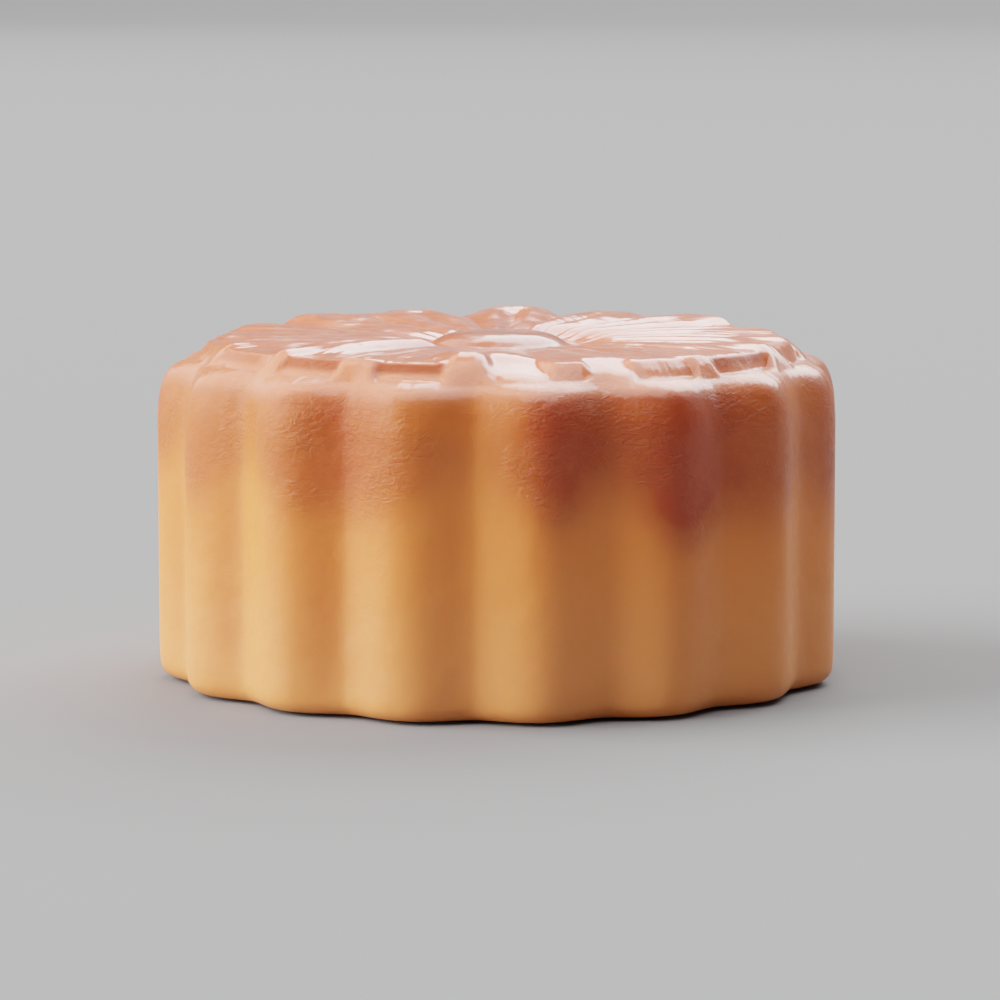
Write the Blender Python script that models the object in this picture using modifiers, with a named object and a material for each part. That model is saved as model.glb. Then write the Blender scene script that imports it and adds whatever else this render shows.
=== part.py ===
"""A baked mooncake: one solid, round cake with a fluted side and a flower pressed into its top.

The origin is the middle of the flat bottom and +Z is up. Sizes here are in millimetres and the
solid is in metres. The cake is turned as a plain round blank, and the flower and the flutes are
then pressed into it, as a mould presses them into dough. It is pressed and baked by hand, so each
petal and each pocket has sizes of its own.
"""
import math

import bpy
import numpy as np

MM = 0.001
TURN = 2.0 * math.pi

# ---- The turned blank ----
CREST_RADIUS = 35.0            # from the axis to the outside of a lobe
FOOT_ROUND = 1.8               # rounding where the side meets the flat bottom
FOOT_STEPS = 2
SIDE_TOP = 25.0                # height at which the upright side starts to lean in
SHOULDER = [(34.95, 28.0), (34.65, 29.8), (34.2, 31.0), (33.7, 31.7), (33.1, 32.08),
            (32.4, 32.38), (31.7, 32.62), (31.1, 32.78), (30.5, 32.88), (29.9, 32.94)]
BED_RADII = [29.3, 28.4, 26.5, 23.5, 19.0, 13.5, 10.0, 7.6]
BED_TOP = 33.75                # height of the bed of the flower, at the next radius
BED_MIDDLE = 13.0
BED_FALL = 0.75                # how far it falls from there to the next radius
BED_EDGE = 29.0
BUTTON_RADIUS = 6.9            # the round button in the middle
BUTTON_TOP = 35.15
BUTTON_RISE = 1.25             # its edge lies this far below its top
BUTTON_POWER = 5               # 2 is a dome, more is flatter on top
BUTTON_SHARES = [1.0, 0.85, 0.6]

# ---- The flutes ----
LOBES = 16                     # lobes round the side, and petals on the top
LOBE_ANGLE = TURN / LOBES
FIRST_LOBE = math.radians(7.1)  # from +X to the first lobe, seen from above
COLUMNS_PER_LOBE = 12
LOBE_FULLNESS = 0.82           # below 1, a lobe is broader than its valley
FLUTE_FADE = (29.0, 34.2)      # radii between which the flutes die out on the top
TOP_START = 20.0               # above this height a point belongs to the shoulder or the top

# How far each valley lies inside the crests beside it
FLUTE_DEPTH = np.array([1.6, 1.65, 1.55, 1.7, 1.6, 1.5, 1.65, 1.7, 1.65, 1.8, 1.75, 1.95, 1.85, 1.7, 1.6,
                        1.65])

# ---- The flower: sixteen petals, each over a valley, and sixteen pockets at the lobes ----
# Degrees that a petal is pressed off its even place
PETAL_TURN = np.radians([0.5, 1.5, 3.0, 0.5, 0.5, 2.0, 0.5, 1.5, 2.0, 4.0, -0.4, -2.5, 3.4, 0.2, 1.5, 0.5])
# Degrees from the middle of a petal to its side, near the rim
PETAL_HALF_WIDTH = np.radians([6.0, 7.5, 7.5, 8.3, 7.2, 7.4, 6.0, 4.5, 3.2, 2.2, 4.0, 3.8, 4.2, 2.2,
                               3.2, 4.0])
# Half the width of the slope at that side
PETAL_SOFT = np.array([1.6, 2.0, 2.2, 2.6, 2.4, 2.2, 1.8, 1.4, 1.2, 1.2, 1.2, 1.2, 1.2, 1.2, 1.2, 1.2])
# Height of a petal near the rim
PETAL_TOP = np.array([34.65, 35.3, 35.15, 35.5, 35.25, 35.3, 34.85, 34.7, 34.75, 34.95, 34.55, 35.25,
                      34.45, 34.5, 34.8, 34.65])
# How far a petal stands up near the button
PETAL_INNER = np.array([0.5, 0.6, 0.7, 0.35, 0.25, 0.2, 0.1, 0.12, 0.3, 0.85, 0.25, 0.3, 0.25, 0.25, 0.3,
                        0.4])
# Depth of the groove down its middle, as a share of that
PETAL_VEIN = np.array([0.6, 0.7, 0.8, 0.9, 0.6, 0.4, 0.3, 0.3, 0.25, 0.15, 0.5, 0.4, 0.5, 0.5, 0.6, 0.7])
# Radius at which its tip starts to fall
PETAL_TIP = np.array([29.2, 29.6, 30.0, 30.2, 29.9, 29.3, 29.0, 28.0, 28.8, 29.2, 29.6, 27.9, 26.6, 29.4,
                      29.2, 28.8])
# Radius that the fall of the tip takes up
PETAL_FALL = np.array([2.6, 2.6, 2.6, 2.4, 2.6, 2.8, 3.0, 3.6, 3.4, 3.2, 3.0, 4.8, 6.4, 3.2, 3.6, 3.4])
# 1 is a straight fall, more is a hollow one
TIP_BEND = np.array([1.0, 1.0, 1.0, 1.0, 1.0, 1.0, 1.0, 1.0, 1.0, 1.0, 1.0, 1.1, 1.35, 1.0, 1.0, 1.0])
# Depth of that groove near the tip
TIP_GROOVE = np.array([0.0, 0.1, 0.25, 0.5, 0.3, 0.1, 0.0, 0.0, 0.0, 0.0, 0.0, 0.0, 0.0, 0.0, 0.0, 0.0])
# How far a pocket is pressed below the rim
POCKET_DEPTH = np.array([0.2, 0.4, 0.1, 0.3, 0.3, 0.0, 0.3, 0.2, 0.1, 0.0, 0.1, 0.1, 0.0, 0.3, 0.2, 0.2])
# Height kept between two petals behind a pocket, as a share of theirs
SADDLE = np.array([0.0, 0.1, 0.6, 0.0, 0.1, 0.75, 0.0, 0.0, 0.0, 0.0, 0.0, 0.0, 0.0, 0.0, 0.0, 0.0])
# Radius at which the pocket's inner wall starts, left half
LEFT_START = np.array([29.6, 29.4, 29.7, 28.6, 29.5, 29.6, 29.4, 29.7, 29.6, 29.7, 29.8, 29.8, 25.2, 29.2,
                       29.8, 29.6])
# Radius that it takes up, left half
LEFT_RUN = np.array([1.6, 2.0, 1.3, 3.2, 2.0, 1.5, 2.2, 1.4, 1.8, 1.6, 1.9, 1.9, 6.8, 2.1, 1.0, 1.2])
# Radius at which it starts, right half
RIGHT_START = np.array([29.6, 29.5, 29.4, 29.3, 29.7, 29.5, 29.6, 29.4, 29.6, 29.7, 29.8, 29.8, 29.5, 29.3,
                        29.8, 29.7])
# Radius that it takes up, right half
RIGHT_RUN = np.array([1.6, 1.8, 2.2, 2.0, 1.4, 2.0, 1.6, 2.0, 1.8, 1.6, 1.9, 1.9, 2.0, 1.8, 0.9, 1.2])
# 1 is a straight wall, more is a hollow one
WALL_BEND = np.array([1.3, 1.5, 1.2, 1.4, 1.6, 1.2, 1.5, 1.3, 1.5, 1.4, 2.0, 2.2, 1.1, 1.4, 1.1, 1.3])
# Rounding of the wall's upper edge
LIP_DROP = np.array([0.1, 0.05, 0.12, 0.08, 0.15, 0.05, 0.1, 0.12, 0.08, 0.05, 0.03, 0.14, 0.0, 0.1,
                     0.16, 0.14])
PETAL_ROOTS = (7.6, 12.0)      # radii between which the petals rise beside the button
VEIN_WIDTH = 0.42              # half width of that groove, as a share of half a petal
TIP_GROOVE_WIDTH = 0.5
TIP_GROOVE_END = (27.0, 29.5)  # radii between which it runs out
FLANK_POWER = 1.8              # 1 is a roof shape, more is a fuller petal
RISE_RADII = (17.0, 29.0)      # radii between which a petal grows from its inner to its outer height
BROADENING = (22.0, 28.5)      # radii between which its section turns from a leaf to a flat bar
PANEL_LEVEL = 34.35            # height between two petals near the rim
PANEL = [(7.6, 33.7), (8.7, 33.75), (10.0, 33.95), (12.0, 34.15), (15.0, 34.3), (19.0, 34.4),
         (23.0, 34.42), (26.0, 34.4), (28.5, PANEL_LEVEL), (30.0, 34.3), (35.0, 34.0)]
SETTLING = (30.5, 33.5)        # radii between which the turn of a petal dies out
LIP_WIDTH = 0.8
POCKET_SIDE = (-0.3, 0.7)      # the side wall of a pocket, measured from the side of the petal
POCKET_RADII = (29.9, 30.9, 32.3)   # the pocket deepens between the first two, and then runs out
FLOWER_RADII = (7.6, 34.6)     # the flower lies between these
SPLIT = math.radians(0.8)      # where the right half of a pocket's wall starts
SPLIT_WIDTH = 0.02

CRUST_COLOUR = (0.62, 0.30, 0.11, 1.0)
CRUST_ROUGHNESS = 0.4
SHARP_EDGE = math.radians(40.0)

PETAL_ANGLES = FIRST_LOBE + LOBE_ANGLE * (np.arange(LOBES) + 0.5)
POCKET_ANGLES = FIRST_LOBE + LOBE_ANGLE * np.arange(LOBES)


def clear_scene():
    for thing in list(bpy.data.objects):
        bpy.data.objects.remove(thing, do_unlink=True)


def smooth_step(start, end, value):
    """0 before start, 1 after end, and a smooth curve between them."""
    share = np.clip((value - start) / (end - start), 0.0, 1.0)
    return share * share * (3.0 - 2.0 * share)


def ramp(share):
    """A straight slope from 0 to 1 with its two corners eased."""
    return 0.7 * np.clip(share, 0.0, 1.0) + 0.3 * smooth_step(0.0, 1.0, share)


# ---- Blank ----
def button_points():
    points = [(0.0, BUTTON_TOP)]
    for share in reversed(BUTTON_SHARES):
        points.append((BUTTON_RADIUS * share, BUTTON_TOP - BUTTON_RISE * share ** BUTTON_POWER))
    return points


def bed_points():
    points = []
    for radius in reversed(BED_RADII):
        out = max(radius - BED_MIDDLE, 0.0) / (BED_EDGE - BED_MIDDLE)
        points.append((radius, BED_TOP - BED_FALL * out ** 2))
    return points


def foot_points():
    points = []
    for step in range(FOOT_STEPS + 1):
        lean = step / FOOT_STEPS * math.pi / 2
        inset = FOOT_ROUND * (1.0 - math.cos(lean))
        points.append((CREST_RADIUS - inset, FOOT_ROUND * (1.0 - math.sin(lean))))
    return points


def blank_outline():
    """The outline from the middle of the top, over the side, to the middle of the bottom."""
    outline = button_points() + bed_points() + SHOULDER[::-1]
    outline.append((CREST_RADIUS, SIDE_TOP))
    return outline + foot_points() + [(0.0, 0.0)]


def turned_blank(points, segments):
    """Turn the outline round the upright axis and return the closed mesh."""
    outline = bpy.data.meshes.new("outline")
    edges = [(i, i + 1) for i in range(len(points) - 1)]
    outline.from_pydata([(radius * MM, 0.0, height * MM) for radius, height in points], edges, [])
    blank = bpy.data.objects.new("blank", outline)
    bpy.context.scene.collection.objects.link(blank)
    screw = blank.modifiers.new("turn", "SCREW")
    screw.axis = "Z"
    screw.angle = TURN
    screw.steps = segments
    screw.render_steps = segments
    screw.use_merge_vertices = True
    screw.merge_threshold = 0.00001
    graph = bpy.context.evaluated_depsgraph_get()
    turned = bpy.data.meshes.new_from_object(blank.evaluated_get(graph))
    bpy.data.objects.remove(blank, do_unlink=True)
    bpy.data.meshes.remove(outline)
    return turned


# ---- Flower ----
def way_to_valley(angle):
    """0 on a lobe's crest and 1 in the valley beside it."""
    off_crest = (angle - FIRST_LOBE + LOBE_ANGLE / 2) % LOBE_ANGLE - LOBE_ANGLE / 2
    return np.abs(off_crest) / (LOBE_ANGLE / 2)


def round_the_cake(angle, centres, values):
    """Blend from one value to the next on the way round."""
    order = np.argsort(centres % TURN)
    return np.interp(angle % TURN, (centres % TURN)[order], values[order], period=TURN)


def nearest_of(angle, centres):
    return np.round((angle - centres[0]) / LOBE_ANGLE).astype(int) % LOBES


def petal_height(radius, valley, petal, pocket):
    """Height of the pressed petals, before their tips and the pockets are cut."""
    across = 1.0 - valley
    flank = 1.0 - (np.maximum(across - VEIN_WIDTH, 0.0) / (1.0 - VEIN_WIDTH)) ** FLANK_POWER
    groove = 1.0 - PETAL_VEIN[petal] * (1.0 - smooth_step(0.0, VEIN_WIDTH, across))
    leaf = np.minimum(flank, groove)
    side = side_distance(radius, valley, petal)
    bar = 1.0 - smooth_step(-PETAL_SOFT[petal], PETAL_SOFT[petal], side)
    groove = TIP_GROOVE[petal] * (1.0 - smooth_step(0.0, TIP_GROOVE_WIDTH, across))
    bar = bar * (1.0 - groove * (1.0 - smooth_step(*TIP_GROOVE_END, radius)))
    bar = np.maximum(bar, SADDLE[pocket])
    shape = leaf + (bar - leaf) * smooth_step(*BROADENING, radius)
    growth = PETAL_TOP[petal] - PANEL_LEVEL - PETAL_INNER[petal]
    lift = PETAL_INNER[petal] + growth * smooth_step(*RISE_RADII, radius)
    panel = np.interp(radius, *zip(*PANEL))
    return panel + lift * smooth_step(*PETAL_ROOTS, radius) * shape


def side_distance(radius, valley, petal):
    """Distance outside the side of the nearest petal; negative is on the petal."""
    return ((1.0 - valley) * LOBE_ANGLE / 2 - PETAL_HALF_WIDTH[petal]) * radius


def pocket_wall(radius, turned, pocket):
    """1 inside the inner wall of a pocket and 0 on its floor, and the rounding of the wall's edge."""
    off_crest = (turned - FIRST_LOBE + LOBE_ANGLE / 2) % LOBE_ANGLE - LOBE_ANGLE / 2
    right = smooth_step(SPLIT - SPLIT_WIDTH, SPLIT + SPLIT_WIDTH, off_crest)
    start = LEFT_START[pocket] + (RIGHT_START - LEFT_START)[pocket] * right
    run = LEFT_RUN[pocket] + (RIGHT_RUN - LEFT_RUN)[pocket] * right
    wall = (1.0 - np.clip((radius - start) / run, 0.0, 1.0)) ** WALL_BEND[pocket]
    lip = LIP_DROP[pocket] * np.clip((radius - start + LIP_WIDTH) / LIP_WIDTH, 0.0, 1.0) ** 2
    return wall, lip


def flower_height(radius, angle, ground):
    """Height of the top with the flower pressed on the ground that the blank gives."""
    settle = 1.0 - smooth_step(*SETTLING, radius)
    turned = angle - settle * round_the_cake(angle, PETAL_ANGLES, PETAL_TURN)
    valley = way_to_valley(turned)
    petal = nearest_of(turned, PETAL_ANGLES)
    pocket = nearest_of(turned, POCKET_ANGLES)
    side = side_distance(radius, valley, petal)
    beside = smooth_step(*POCKET_SIDE, side)
    wall, lip = pocket_wall(radius, turned, pocket)
    top = petal_height(radius, valley, petal, pocket) - lip * beside
    tip = (1.0 - ramp((radius - PETAL_TIP[petal]) / PETAL_FALL[petal])) ** TIP_BEND[petal]
    share = tip + (wall - tip) * beside
    depth = round_the_cake(angle, POCKET_ANGLES, POCKET_DEPTH) * beside
    depth = depth * smooth_step(*POCKET_RADII[:2], radius)
    ground = ground - depth * (1.0 - smooth_step(*POCKET_RADII[1:], radius))
    return ground + np.maximum(top - ground, 0.0) * share


# ---- Flutes ----
def flute_scale(angle, radius, upper):
    """How far the side is drawn in toward the axis."""
    crest = 0.5 + 0.5 * np.cos(math.pi * way_to_valley(angle))
    fade = np.where(upper, smooth_step(*FLUTE_FADE, radius), 1.0)
    depth = round_the_cake(angle, PETAL_ANGLES, FLUTE_DEPTH)
    return 1.0 - depth / CREST_RADIUS * fade * (1.0 - crest ** LOBE_FULLNESS)


def press_mould(mesh):
    """Press the flower and the flutes into the turned blank."""
    points = np.empty(len(mesh.vertices) * 3)
    mesh.vertices.foreach_get("co", points)
    points = points.reshape(-1, 3) / MM
    radius = np.hypot(points[:, 0], points[:, 1])
    angle = np.arctan2(points[:, 1], points[:, 0]) + FIRST_LOBE
    upper = points[:, 2] > TOP_START
    in_flower = upper & (radius > FLOWER_RADII[0]) & (radius < FLOWER_RADII[1])
    height = np.where(in_flower, flower_height(radius, angle, points[:, 2]), points[:, 2])
    drawn_in = radius * flute_scale(angle, radius, upper)
    pressed = np.column_stack((drawn_in * np.cos(angle), drawn_in * np.sin(angle), height))
    mesh.vertices.foreach_set("co", (pressed * MM).ravel())
    mesh.update()


# ---- Cake ----
def crust_material():
    material = bpy.data.materials.new("baked_crust")
    material.use_nodes = True
    surface = material.node_tree.nodes["Principled BSDF"]
    surface.inputs["Base Color"].default_value = CRUST_COLOUR
    surface.inputs["Roughness"].default_value = CRUST_ROUGHNESS
    surface.inputs["Metallic"].default_value = 0.0
    return material


def make_mooncake():
    mesh = turned_blank(blank_outline(), LOBES * COLUMNS_PER_LOBE)
    press_mould(mesh)
    mesh.name = "mooncake"
    mesh.shade_smooth()
    mesh.set_sharp_from_angle(angle=SHARP_EDGE)
    mesh.materials.append(crust_material())
    cake = bpy.data.objects.new("mooncake", mesh)
    collection = bpy.data.collections.new("mooncake")
    bpy.context.scene.collection.children.link(collection)
    collection.objects.link(cake)
    return cake


clear_scene()
make_mooncake()
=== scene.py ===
# %% [markdown]
# # A baked mooncake, from a plain disc of dough to a glazed crust
#
# A mooncake is dough wrapped round a dense sweet paste. It is pressed in a carved mould, brushed
# with egg and baked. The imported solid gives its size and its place. This lesson models the crust
# that shows: sixteen lobes round the side, the flower that the mould leaves on the top, the
# browning of the upper edge and the gloss of the egg.

# %% Load the frame
import math

import bpy
import numpy as np
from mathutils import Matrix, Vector


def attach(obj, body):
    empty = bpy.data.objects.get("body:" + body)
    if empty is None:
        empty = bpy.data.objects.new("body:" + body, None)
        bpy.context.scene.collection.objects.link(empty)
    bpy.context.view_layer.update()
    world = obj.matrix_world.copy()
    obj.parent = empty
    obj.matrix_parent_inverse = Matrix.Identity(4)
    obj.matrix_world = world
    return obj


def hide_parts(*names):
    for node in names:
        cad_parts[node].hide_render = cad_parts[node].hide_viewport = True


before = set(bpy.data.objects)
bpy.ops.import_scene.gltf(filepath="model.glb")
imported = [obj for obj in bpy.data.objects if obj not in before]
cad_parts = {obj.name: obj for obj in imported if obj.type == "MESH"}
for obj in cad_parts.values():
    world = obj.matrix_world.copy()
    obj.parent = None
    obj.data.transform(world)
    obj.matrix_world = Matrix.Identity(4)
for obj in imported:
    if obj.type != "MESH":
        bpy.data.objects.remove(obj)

MM = 0.001
TURN = 2.0 * math.pi
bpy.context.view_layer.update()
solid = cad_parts["mooncake"]
print("packed solid", [round(side / MM, 1) for side in solid.dimensions], "mm")

# %% [markdown]
# ## The outline of the cake
#
# Every upright cut through the axis and a lobe gives the same outline: a flat bottom, a small
# rounding at the foot, an upright side, a soft shoulder, a sloping rim, a step up to the pressed
# flower, a shallow groove and a button in the middle. It is written as a list of rings, each a
# radius and a height in millimetres, because the blank is built ring by ring.

# %% Sizes
CREST_RADIUS = max(math.hypot(v.co.x, v.co.y) for v in solid.data.vertices) - 0.03 * MM
LOBES = 16
LOBE_ANGLE = TURN / LOBES
FIRST_LOBE = math.radians(7.1)
FOOT_ROUND = 1.8
print("radius at a lobe", round(CREST_RADIUS / MM, 2), "mm")

# %% Outline
SIDE = [(CREST_RADIUS / MM, height) for height in (6.0, 12.0, 18.0, 23.0, 26.0)]
SHOULDER = [(34.95, 28.0), (34.65, 29.8), (34.2, 31.0), (33.7, 31.7), (33.1, 32.08), (32.4, 32.38),
            (31.7, 32.62), (31.1, 32.78), (30.7, 32.86), (30.3, 32.92), (29.8, 32.95)]
BED = [(29.0, 33.0), (27.5, 33.1), (25.0, 33.3), (22.0, 33.5), (19.0, 33.65), (16.0, 33.75),
       (13.5, 33.75), (11.5, 33.75), (10.0, 33.7), (8.7, 33.65), (7.6, 33.7)]
BUTTON_RADIUS = 6.9
BUTTON_TOP = 35.15
BUTTON_RISE = 1.25


def foot_rings(steps):
    radius = CREST_RADIUS / MM
    rings = [(radius - 2.2 * FOOT_ROUND, 0.0)]
    for step in range(steps + 1):
        lean = step / steps * math.pi / 2
        rings.append((radius - FOOT_ROUND * (1 - math.sin(lean)), FOOT_ROUND * (1 - math.cos(lean))))
    return rings


def button_rings():
    shares = (1.0, 0.9, 0.75, 0.55, 0.35, 0.15, 0.04)
    return [(BUTTON_RADIUS * share, BUTTON_TOP - BUTTON_RISE * share ** 5) for share in shares]


rings = foot_rings(3) + SIDE + SHOULDER + BED + button_rings()
print(len(rings), "rings")

# %% Blank
COLUMNS_PER_LOBE = 10
bpy.ops.object.select_all(action="DESELECT")
bpy.ops.mesh.primitive_circle_add(vertices=LOBES * COLUMNS_PER_LOBE, radius=rings[0][0] * MM,
                                  fill_type="NGON", location=(0, 0, 0), rotation=(0, 0, FIRST_LOBE))
crust = bpy.context.object
crust.name = "mooncake_crust"
bpy.ops.object.transform_apply(location=True, rotation=True, scale=True)
bpy.ops.object.mode_set(mode="EDIT")
bpy.ops.mesh.select_all(action="SELECT")
last_radius, last_height = rings[0]
for radius, height in rings[1:]:
    scale = radius / last_radius
    rise = (0, 0, (height - last_height) * MM)
    bpy.ops.mesh.extrude_region_move(TRANSFORM_OT_translate={"value": rise})
    bpy.ops.transform.resize(value=(scale, scale, 1), center_override=(0, 0, height * MM))
    last_radius, last_height = radius, height
bpy.ops.mesh.merge(type="CENTER")
bpy.ops.object.mode_set(mode="OBJECT")
print("blank:", len(crust.data.polygons), "faces")

# %% Soften
soften = crust.modifiers.new("soften", "SUBSURF")
soften.levels = 2
soften.render_levels = 2
bpy.ops.object.modifier_apply(modifier=soften.name)
print("dense:", len(crust.data.polygons), "faces")


# %% Points
def read_points():
    points = np.empty(len(crust.data.vertices) * 3)
    crust.data.vertices.foreach_get("co", points)
    return points.reshape(-1, 3) / MM


def write_points(points):
    crust.data.vertices.foreach_set("co", (points * MM).ravel())
    crust.data.update()


def smooth_step(start, end, value):
    share = np.clip((value - start) / (end - start), 0.0, 1.0)
    return share * share * (3.0 - 2.0 * share)


def way_to_valley(angle):
    off = (angle - FIRST_LOBE + LOBE_ANGLE / 2) % LOBE_ANGLE - LOBE_ANGLE / 2
    return np.abs(off) / (LOBE_ANGLE / 2)


points = read_points()
blank_radius = np.hypot(points[:, 0], points[:, 1])
angle = np.arctan2(points[:, 1], points[:, 0])
height = points[:, 2].copy()
upper = height > 20.0

# %% Flower
PETAL_ANGLES = FIRST_LOBE + LOBE_ANGLE * (np.arange(LOBES) + 0.5)
PETAL_TURN = np.radians([0.5, 1.5, 3.0, 0.5, 0.5, 2.0, 0.5, 1.5, 2.0, 4.0, -0.4, -2.5, 3.4, 0.2, 1.5, 0.5])
PETAL_HALF_WIDTH = np.radians([6.0, 7.5, 7.5, 8.3, 7.2, 7.4, 6.0, 4.5, 3.2, 2.2, 4.0, 3.8, 4.2, 2.2, 3.2, 4.0])
PETAL_TOP = np.array([34.65, 35.3, 35.15, 35.5, 35.25, 35.3, 34.85, 34.7, 34.75, 34.95, 34.55, 35.25, 34.45, 34.5, 34.8, 34.65])
PETAL_INNER = np.array([0.5, 0.6, 0.7, 0.35, 0.25, 0.2, 0.1, 0.12, 0.3, 0.85, 0.25, 0.3, 0.25, 0.25, 0.3, 0.4])
PETAL_VEIN = np.array([0.6, 0.7, 0.8, 0.9, 0.6, 0.4, 0.3, 0.3, 0.25, 0.15, 0.5, 0.4, 0.5, 0.5, 0.6, 0.7])
PETAL_TIP = np.array([29.2, 29.6, 30.0, 30.2, 29.9, 29.3, 29.0, 28.0, 28.8, 29.2, 29.6, 27.9, 26.6, 29.4, 29.2, 28.8])
PETAL_FALL = np.array([2.6, 2.6, 2.6, 2.4, 2.6, 2.8, 3.0, 3.6, 3.4, 3.2, 3.0, 4.8, 6.4, 3.2, 3.6, 3.4])
POCKET_ANGLES = FIRST_LOBE + LOBE_ANGLE * np.arange(LOBES)
POCKET_DEPTH = np.array([0.2, 0.4, 0.1, 0.3, 0.3, 0.0, 0.3, 0.2, 0.1, 0.0, 0.1, 0.1, 0.0, 0.3, 0.2, 0.2])
LEFT_START = np.array([29.6, 29.4, 29.7, 28.6, 29.5, 29.6, 29.4, 29.7, 29.6, 29.7, 29.8, 29.8, 25.2, 29.2, 29.8, 29.6])
LEFT_RUN = np.array([1.6, 2.0, 1.3, 3.2, 2.0, 1.5, 2.2, 1.4, 1.8, 1.6, 1.9, 1.9, 6.8, 2.1, 1.0, 1.2])
RIGHT_START = np.array([29.6, 29.5, 29.4, 29.3, 29.7, 29.5, 29.6, 29.4, 29.6, 29.7, 29.8, 29.8, 29.5, 29.3, 29.8, 29.7])
RIGHT_RUN = np.array([1.6, 1.8, 2.2, 2.0, 1.4, 2.0, 1.6, 2.0, 1.8, 1.6, 1.9, 1.9, 2.0, 1.8, 0.9, 1.2])
WALL_BEND = np.array([1.3, 1.5, 1.2, 1.4, 1.6, 1.2, 1.5, 1.3, 1.5, 1.4, 2.0, 2.2, 1.1, 1.4, 1.1, 1.3])
LIP_DROP = np.array([0.10, 0.05, 0.12, 0.08, 0.15, 0.05, 0.10, 0.12, 0.08, 0.05, 0.03, 0.14, 0.0, 0.10, 0.16, 0.14])
PETAL_SOFT = np.array([1.6, 2.0, 2.2, 2.6, 2.4, 2.2, 1.8, 1.4, 1.2, 1.2, 1.2, 1.2, 1.2, 1.2, 1.2, 1.2])
TIP_GROOVE = np.array([0.0, 0.1, 0.25, 0.5, 0.3, 0.1, 0.0, 0.0, 0.0, 0.0, 0.0, 0.0, 0.0, 0.0, 0.0, 0.0])
SADDLE = np.array([0.0, 0.1, 0.6, 0.0, 0.1, 0.75, 0.0, 0.0, 0.0, 0.0, 0.0, 0.0, 0.0, 0.0, 0.0, 0.0])
LIP_WIDTH = 0.8
TIP_BEND = np.array([1.0, 1.0, 1.0, 1.0, 1.0, 1.0, 1.0, 1.0, 1.0, 1.0, 1.0, 1.1, 1.35, 1.0, 1.0, 1.0])
SPLIT = math.radians(0.8)


def ramp(share):
    """A straight slope from 0 to 1 with its two corners eased."""
    straight = np.clip(share, 0.0, 1.0)
    return 0.7 * straight + 0.3 * smooth_step(0.0, 1.0, share)


def round_the_cake(angle, centres, values):
    """Blend from one value to the next on the way round."""
    order = np.argsort(centres % TURN)
    return np.interp(angle % TURN, (centres % TURN)[order], np.asarray(values)[order], period=TURN)


def panel_height(radius):
    rings = [(7.6, 33.7), (8.7, 33.75), (10.0, 33.95), (12.0, 34.15), (15.0, 34.3), (19.0, 34.4),
             (23.0, 34.42), (26.0, 34.4), (28.5, 34.35), (30.0, 34.3), (35.0, 34.0)]
    radii, heights = zip(*rings)
    return np.interp(radius, radii, heights)


def flower_height(radius, angle, ground):
    """Height of the top face with the flower pressed on the ground that the rings give."""
    settle = 1.0 - smooth_step(30.5, 33.5, radius)
    turned = angle - settle * round_the_cake(angle, PETAL_ANGLES, PETAL_TURN)
    valley = way_to_valley(turned)
    nearest = np.round((turned - PETAL_ANGLES[0]) / LOBE_ANGLE).astype(int) % LOBES
    off_centre = (1.0 - valley) * LOBE_ANGLE / 2
    panel = panel_height(radius)
    across = 1.0 - valley
    flank = 1.0 - (np.maximum(across - 0.42, 0.0) / 0.58) ** 1.8
    groove = 1.0 - PETAL_VEIN[nearest] * (1.0 - smooth_step(0.0, 0.42, across))
    leaf = np.minimum(flank, groove)
    side = (off_centre - PETAL_HALF_WIDTH[nearest]) * radius
    plateau = 1.0 - smooth_step(-PETAL_SOFT[nearest], PETAL_SOFT[nearest], side)
    vein = TIP_GROOVE[nearest] * (1.0 - smooth_step(0.0, 0.5, across)) * (1.0 - smooth_step(27.0, 29.5, radius))
    plateau = plateau * (1.0 - vein)
    pocket = np.round((turned - FIRST_LOBE) / LOBE_ANGLE).astype(int) % LOBES
    plateau = np.maximum(plateau, SADDLE[pocket])
    outward = smooth_step(22.0, 28.5, radius)
    top_lift = PETAL_TOP[nearest] - 34.35
    lift = PETAL_INNER[nearest] + (top_lift - PETAL_INNER[nearest]) * smooth_step(17.0, 29.0, radius)
    shape = leaf + (plateau - leaf) * outward
    petal = panel + lift * smooth_step(7.6, 12.0, radius) * shape
    tip = (1.0 - ramp((radius - PETAL_TIP[nearest]) / PETAL_FALL[nearest])) ** TIP_BEND[nearest]
    off_crest = (turned - FIRST_LOBE + LOBE_ANGLE / 2) % LOBE_ANGLE - LOBE_ANGLE / 2
    right = smooth_step(SPLIT - 0.02, SPLIT + 0.02, off_crest)
    start = LEFT_START[pocket] + (RIGHT_START - LEFT_START)[pocket] * right
    run = LEFT_RUN[pocket] + (RIGHT_RUN - LEFT_RUN)[pocket] * right
    wall = (1.0 - np.clip((radius - start) / run, 0.0, 1.0)) ** WALL_BEND[pocket]
    lip = np.clip((radius - start + LIP_WIDTH) / LIP_WIDTH, 0.0, 1.0) ** 2
    beside = smooth_step(-0.3, 0.7, side)
    petal = petal - LIP_DROP[pocket] * lip * beside
    share = tip + (wall - tip) * beside
    in_pocket = beside * smooth_step(29.9, 30.9, radius)
    depth = round_the_cake(angle, POCKET_ANGLES, POCKET_DEPTH) * in_pocket
    ground = ground - depth * (1.0 - smooth_step(30.9, 32.3, radius))
    return ground + np.maximum(petal - ground, 0.0) * share, beside


pressed, in_pocket = flower_height(blank_radius, angle, height)
on_top = upper & (blank_radius > 7.6) & (blank_radius < 34.6)
points[:, 2] = np.where(on_top, pressed, height)

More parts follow.
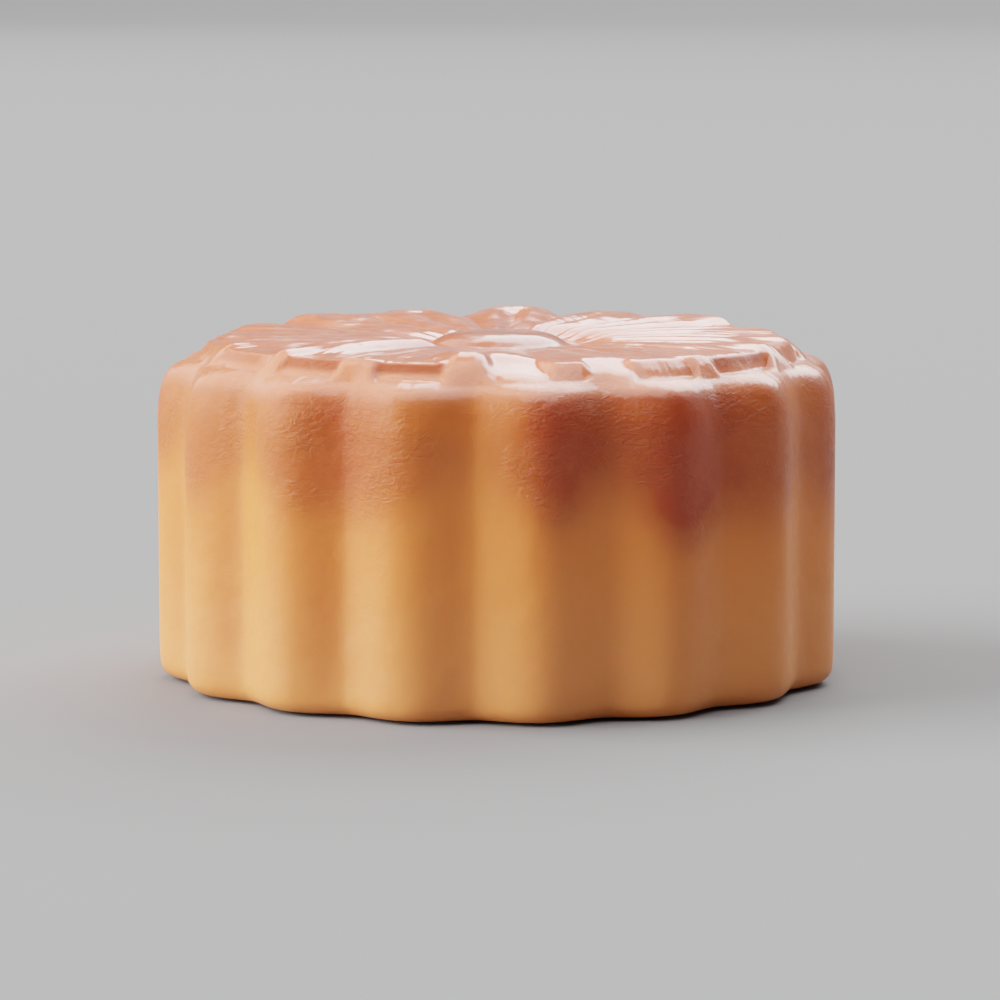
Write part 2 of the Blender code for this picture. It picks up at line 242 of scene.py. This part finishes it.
# %% Flutes
FLUTE_DEPTH = np.array([1.6, 1.65, 1.55, 1.7, 1.6, 1.5, 1.65, 1.7, 1.65, 1.8, 1.75, 1.95, 1.85, 1.7, 1.6, 1.65])
LOBE_FULLNESS = 0.82
crest = 0.5 + 0.5 * np.cos(math.pi * way_to_valley(angle))
inset = 1.0 - crest ** LOBE_FULLNESS
fade = np.where(upper, smooth_step(29.0, 34.2, blank_radius), 1.0)
flute_depth = round_the_cake(angle, PETAL_ANGLES, FLUTE_DEPTH)
scale = 1.0 - flute_depth / (CREST_RADIUS / MM) * fade * inset
points[:, 0] *= scale
points[:, 1] *= scale

write_points(points)
bpy.ops.object.mode_set(mode="EDIT")
bpy.ops.mesh.select_all(action="SELECT")
bpy.ops.mesh.remove_doubles(threshold=0.000001)
bpy.ops.mesh.normals_make_consistent(inside=False)
bpy.ops.object.mode_set(mode="OBJECT")
bpy.ops.object.shade_smooth()
assert len(crust.data.vertices) == len(points)
print("height", round(points[:, 2].max(), 2), "mm")

# %% Browning
# For each lobe and then each valley: how far from its middle in degrees, height of the edge, strength
BROWN_LOBES = [(1.0, 18.5, 0.9), (0.0, 20.0, 0.85), (1.5, 17.5, 1.0), (-1.0, 19.0, 0.9), (1.0, 18.0, 1.0),
               (0.0, 19.5, 0.8), (1.0, 17.5, 0.9), (0.0, 20.5, 0.8), (0.5, 21.4, 0.9), (0.0, 18.4, 0.78),
               (0.0, 20.2, 0.78), (1.5, 20.9, 0.76), (1.5, 19.0, 1.12), (0.5, 15.8, 1.18), (-2.0, 18.0, 0.9),
               (-2.0, 17.6, 0.95)]
BROWN_VALLEYS = [(0.0, 21.0, 0.7), (1.0, 22.0, 0.8), (0.0, 20.5, 0.85), (-1.0, 22.5, 0.7), (0.0, 21.0, 0.8),
                 (2.0, 23.0, 0.6), (0.0, 21.5, 0.75), (1.0, 23.5, 0.6), (0.0, 24.2, 0.6), (3.5, 24.6, 0.6),
                 (-3.0, 18.7, 0.93), (-1.0, 24.4, 0.4), (1.0, 22.6, 0.95), (1.0, 19.2, 0.96), (-1.0, 21.6, 0.62),
                 (0.0, 20.5, 0.75)]
LOBE_EDGE = (3.2, 3.8)
FAINT_EDGE = (8.0, 1.0)
FAINT_SHARE = 0.2
TOP_STRENGTH = 0.72
BLEND = math.radians(3.0)


def browning_round(column):
    """The browning list read round the cake, with its corners eased."""
    nodes_at = [(POCKET_ANGLES[i] + math.radians(row[0]), row[column]) for i, row in enumerate(BROWN_LOBES)]
    nodes_at += [(PETAL_ANGLES[i] + math.radians(row[0]), row[column]) for i, row in enumerate(BROWN_VALLEYS)]
    nodes_at.sort(key=lambda pair: pair[0] % TURN)
    centres, values = zip(*[(centre % TURN, value) for centre, value in nodes_at])
    total = sum(np.interp((angle + step * BLEND / 2) % TURN, centres, values, period=TURN) for step in range(-2, 3))
    return total / 5


edge = browning_round(1)
strength = browning_round(2)
strength = strength + np.maximum(TOP_STRENGTH - strength, 0.0) * smooth_step(28.0, 30.0, points[:, 2])
near = smooth_step(edge - LOBE_EDGE[0], edge + LOBE_EDGE[1], points[:, 2])
far = smooth_step(edge - FAINT_EDGE[0], edge + FAINT_EDGE[1], points[:, 2])
brown = ((1.0 - FAINT_SHARE) * near + FAINT_SHARE * far) * strength
STAINS = [(-52.0, 3.0, 0.30), (-30.0, 4.5, 0.36), (-74.0, 3.0, 0.2), (33.0, 4.0, 0.2), (100.0, 6.0, 0.3),
          (150.0, 5.0, 0.3), (205.0, 7.0, 0.35), (250.0, 4.0, 0.25)]
for centre, half_width, amount in STAINS:
    off = (angle + math.pi / 2 - math.radians(centre) + math.pi) % TURN - math.pi
    low = smooth_step(1.0, 7.0, points[:, 2])
    brown = np.maximum(brown, amount * np.exp(-(off / math.radians(half_width)) ** 2) * low)
layer = crust.data.attributes.new("browning", "FLOAT", "POINT")
layer.data.foreach_set("value", np.where(upper | (height > 0.5), brown, 0.0))

# Painted shade: the steep walls of the rim pockets get a darker brown near their top edge, where the ridges beside them
# shade them.
POCKET_WALL_SHADE = np.array([0.5, 0.2, 0.5, 0.3, 0.6, 0.2, 0.4, 0.5, 0.5, 0.6, 0.9, 1.0, 0.0, 0.15, 0.8, 0.4])
from_crest = np.round((angle - FIRST_LOBE) / LOBE_ANGLE).astype(int) % LOBES
flat_pocket = smooth_step(0.0, 0.35, 1.0 - way_to_valley(angle))
wall_shade_mask = POCKET_WALL_SHADE[from_crest] * flat_pocket * smooth_step(32.9, 33.6, points[:, 2])
wall_shade_mask = wall_shade_mask * in_pocket * smooth_step(29.6, 29.9, blank_radius) * upper
layer = crust.data.attributes.new("painted_wall_shade", "FLOAT", "POINT")
layer.data.foreach_set("value", wall_shade_mask)

# %% Material
crust_finish = bpy.data.materials.new("glazed_crust")
crust_finish.use_nodes = True
nodes = crust_finish.node_tree.nodes
links = crust_finish.node_tree.links
surface = nodes["Principled BSDF"]
surface.inputs["Subsurface Weight"].default_value = 0.35
surface.inputs["Subsurface Radius"].default_value = (1.0, 0.35, 0.12)
surface.inputs["Subsurface Scale"].default_value = 0.003


def node(kind, **values):
    made = nodes.new(kind)
    for name, value in values.items():
        setattr(made, name, value)
    return made


def map_range(source, from_min, from_max, to_min=0.0, to_max=1.0):
    made = node("ShaderNodeMapRange", interpolation_type="SMOOTHSTEP")
    made.inputs["From Min"].default_value = from_min
    made.inputs["From Max"].default_value = from_max
    made.inputs["To Min"].default_value = to_min
    made.inputs["To Max"].default_value = to_max
    links.new(source, made.inputs["Value"])
    return made.outputs["Result"]


def mix_colour(factor, first, second):
    made = node("ShaderNodeMix", data_type="RGBA")
    links.new(factor, made.inputs["Factor"])
    for socket, value in ((made.inputs[6], first), (made.inputs[7], second)):
        if isinstance(value, tuple):
            socket.default_value = (*value, 1.0)
        else:
            links.new(value, socket)
    return made.outputs[2]


def math_node(operation, first, second):
    made = node("ShaderNodeMath", operation=operation)
    for socket, value in zip(made.inputs, (first, second)):
        if isinstance(value, (int, float)):
            socket.default_value = value
        else:
            links.new(value, socket)
    return made.outputs["Value"]


coords = node("ShaderNodeTexCoord").outputs["Object"]
split = node("ShaderNodeSeparateXYZ")
links.new(coords, split.inputs["Vector"])
z = split.outputs["Z"]
browning = node("ShaderNodeAttribute", attribute_name="browning").outputs["Fac"]


def noise_node(scale, detail=3.0, roughness=0.5, distortion=0.0):
    made = node("ShaderNodeTexNoise")
    made.inputs["Scale"].default_value = scale
    made.inputs["Detail"].default_value = detail
    made.inputs["Roughness"].default_value = roughness
    made.inputs["Distortion"].default_value = distortion
    links.new(coords, made.inputs["Vector"])
    return made.outputs["Fac"]


cloud = noise_node(180.0, 4.0)
wander = math_node("MULTIPLY", math_node("SUBTRACT", cloud, 0.5), 0.5)
brown_mask = math_node("ADD", browning, math_node("MULTIPLY", wander, browning))
deep_mask = map_range(brown_mask, 0.85, 1.15)
brown_mask = math_node("MINIMUM", brown_mask, 1.0)
GOLD = (0.80, 0.196, 0.034)
PALE_GOLD = (0.80, 0.238, 0.062)
BROWN = (0.44, 0.068, 0.009)
DEEP_BROWN = (0.38, 0.040, 0.004)
RIM_PEACH = (0.70, 0.147, 0.047)
TOP_BROWN = (0.75, 0.136, 0.048)
# The next colour is painted shade for the walls of the rim pockets.
WALL_SHADE_BROWN = (0.34, 0.058, 0.018)
BUTTON_BROWN = (0.50, 0.098, 0.038)
gold = mix_colour(map_range(z, 0.003, 0.018), PALE_GOLD, GOLD)
colour = mix_colour(brown_mask, gold, BROWN)
colour = mix_colour(deep_mask, colour, DEEP_BROWN)
rim_edge = math_node("ADD", z, math_node("MULTIPLY", wander, 0.004))
colour = mix_colour(map_range(rim_edge, 0.0306, 0.0321), colour, RIM_PEACH)
flat = node("ShaderNodeVectorMath", operation="MULTIPLY")
flat.inputs[1].default_value = (1.0, 1.0, 0.0)
links.new(coords, flat.inputs[0])
from_axis = node("ShaderNodeVectorMath", operation="LENGTH")
links.new(flat.outputs["Vector"], from_axis.inputs[0])
inside = map_range(from_axis.outputs["Value"], 0.0305, 0.0285)
on_top = math_node("MULTIPLY", inside, map_range(z, 0.032, 0.0335))
colour = mix_colour(on_top, colour, TOP_BROWN)
button = map_range(from_axis.outputs["Value"], 0.0078, 0.0066)
colour = mix_colour(button, colour, BUTTON_BROWN)
# Painted shade: the pocket walls are mixed toward a darker brown, and their gloss is cut below.
painted_wall_shade = node("ShaderNodeAttribute", attribute_name="painted_wall_shade").outputs["Fac"]
colour = mix_colour(painted_wall_shade, colour, WALL_SHADE_BROWN)
links.new(colour, surface.inputs["Base Color"])
links.new(map_range(z, 0.0310, 0.0330, 0.40, 0.16), surface.inputs["Specular IOR Level"])
glaze = map_range(rim_edge, 0.0298, 0.0321, 0.10, 1.0)
glaze = math_node("MULTIPLY", glaze, math_node("SUBTRACT", 1.0, painted_wall_shade))
links.new(glaze, surface.inputs["Coat Weight"])
surface.inputs["Coat IOR"].default_value = 1.6
on_rim = math_node("MULTIPLY", map_range(from_axis.outputs["Value"], 0.0305, 0.0315), map_range(z, 0.0310, 0.0318))
smears = map_range(noise_node(260.0, 3.0), 0.3, 0.7, 0.11, 0.20)
links.new(math_node("ADD", smears, math_node("MULTIPLY", on_rim, 0.09)), surface.inputs["Coat Roughness"])
dry = map_range(noise_node(900.0, 4.0, 0.6), 0.25, 0.75, 0.44, 0.58)
links.new(math_node("SUBTRACT", dry, math_node("MULTIPLY", brown_mask, 0.06)), surface.inputs["Roughness"])


def stretched_noise(squash, scale, detail, roughness, distortion):
    """Noise drawn out along one direction; squash scales the three axes."""
    drawn = node("ShaderNodeVectorMath", operation="MULTIPLY")
    drawn.inputs[1].default_value = squash
    links.new(coords, drawn.inputs[0])
    made = node("ShaderNodeTexNoise")
    made.inputs["Scale"].default_value = scale
    made.inputs["Detail"].default_value = detail
    made.inputs["Roughness"].default_value = roughness
    made.inputs["Distortion"].default_value = distortion
    links.new(drawn.outputs["Vector"], made.inputs["Vector"])
    return made.outputs["Fac"]


def bump(height, distance, below=None):
    """Add relief of this many metres on top of the bumps below it."""
    made = node("ShaderNodeBump")
    made.inputs["Strength"].default_value = 1.0
    made.inputs["Distance"].default_value = distance
    links.new(height, made.inputs["Height"])
    if below is not None:
        links.new(below, made.inputs["Normal"])
    return made.outputs["Normal"]


rolling = bump(noise_node(230.0, 2.0), 0.00022)
patches = map_range(noise_node(140.0, 2.0), 0.42, 0.66, 0.25, 1.0)
wrinkles = math_node("MULTIPLY", stretched_noise((1.0, 1.0, 1.7), 900.0, 5.0, 0.6, 1.2), patches)
wrinkled = math_node("MULTIPLY", wrinkles, map_range(brown_mask, 0.30, 0.85, 0.08, 1.0))
crinkled = bump(wrinkled, 0.00028, rolling)
grain = bump(noise_node(3200.0, 3.0, 0.6), 0.000025, crinkled)
links.new(grain, surface.inputs["Normal"])
way_round = math_node("ARCTAN2", split.outputs["Y"], split.outputs["X"])
ray_coords = node("ShaderNodeCombineXYZ")
links.new(math_node("MULTIPLY", way_round, 14.0), ray_coords.inputs["X"])
links.new(math_node("MULTIPLY", from_axis.outputs["Value"], 90.0), ray_coords.inputs["Y"])
rays = node("ShaderNodeTexNoise")
rays.inputs["Scale"].default_value = 1.0
rays.inputs["Detail"].default_value = 2.0
links.new(ray_coords.outputs["Vector"], rays.inputs["Vector"])
ray_height = math_node("MULTIPLY", rays.outputs["Fac"], map_range(from_axis.outputs["Value"], 0.008, 0.026))
glazed = bump(noise_node(420.0, 2.0), 0.00006, bump(ray_height, 0.00026, rolling))
links.new(glazed, surface.inputs["Coat Normal"])

crust.data.materials.clear()
crust.data.materials.append(crust_finish)

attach(crust, "root")
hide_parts("mooncake")

# %% Stage
bpy.ops.mesh.primitive_grid_add(x_subdivisions=4, y_subdivisions=160, size=80.0, location=(0, 0, -0.0002))
floor = bpy.context.object
for vertex in floor.data.vertices:
    vertex.co.z += 0.02 * max(vertex.co.y - 9.0, 0.0) ** 2
bpy.ops.object.shade_smooth()
floor.name = "floor"
paint = bpy.data.materials.new("floor_paint")
paint.use_nodes = True
paint.node_tree.nodes["Principled BSDF"].inputs["Base Color"].default_value = (0.18, 0.18, 0.18, 1)
paint.node_tree.nodes["Principled BSDF"].inputs["Roughness"].default_value = 0.9
floor.data.materials.append(paint)


def softbox(name, azimuth, elevation, distance, size, watts, target=(0, 0, 0.02)):
    """A square lamp; azimuth is measured from the camera side toward the right."""
    light = bpy.data.lights.new(name, "AREA")
    light.shape = "RECTANGLE"
    light.size, light.size_y = size
    light.energy = watts
    lamp = bpy.data.objects.new(name, light)
    turn = math.radians(azimuth)
    rise = math.radians(elevation)
    away = Vector((math.sin(turn) * math.cos(rise), -math.cos(turn) * math.cos(rise), math.sin(rise)))
    lamp.location = Vector(target) + away * distance
    lamp.rotation_euler = (-away).to_track_quat("-Z", "Y").to_euler()
    bpy.context.scene.collection.objects.link(lamp)
    return lamp


key = softbox("key", -86, 24, 9.0, (9.0, 9.0), 3350.0)
key.visible_glossy = False
sheen = softbox("key sheen", -86, 24, 9.0, (9.0, 9.0), 1500.0)
sheen.visible_diffuse = False
glow = softbox("glow", -118, 32, 9.0, (13.0, 11.0), 750.0)
glow.visible_diffuse = False
softbox("back", 155, 43, 20.0, (19.0, 14.7), 6000.0)
softbox("top", 10, 82, 8.0, (9.0, 9.0), 700.0)
softbox("fill", 38, 30, 9.0, (8.0, 8.0), 25.0)
side_sheen = softbox("side sheen", 122, 24, 9.0, (7.0, 9.0), 100.0)
side_sheen.visible_diffuse = False
world = bpy.data.worlds.new("studio")
bpy.context.scene.world = world
world.use_nodes = True
world.node_tree.nodes["Background"].inputs["Color"].default_value = (1, 1, 1, 1)
world.node_tree.nodes["Background"].inputs["Strength"].default_value = 0.05

# %% Camera
camera_data = bpy.data.cameras.new("camera")
camera_data.sensor_width = 36.0
camera_data.lens = 153.9
camera_data.clip_start = 0.01
camera = bpy.data.objects.new("camera", camera_data)
camera.location = (0.0001, -0.43666, 0.06955)
camera.rotation_euler = (math.radians(90 - 6.777), 0, 0)
bpy.context.scene.collection.objects.link(camera)
bpy.context.scene.camera = camera
bpy.context.scene.view_settings.view_transform = "Filmic"
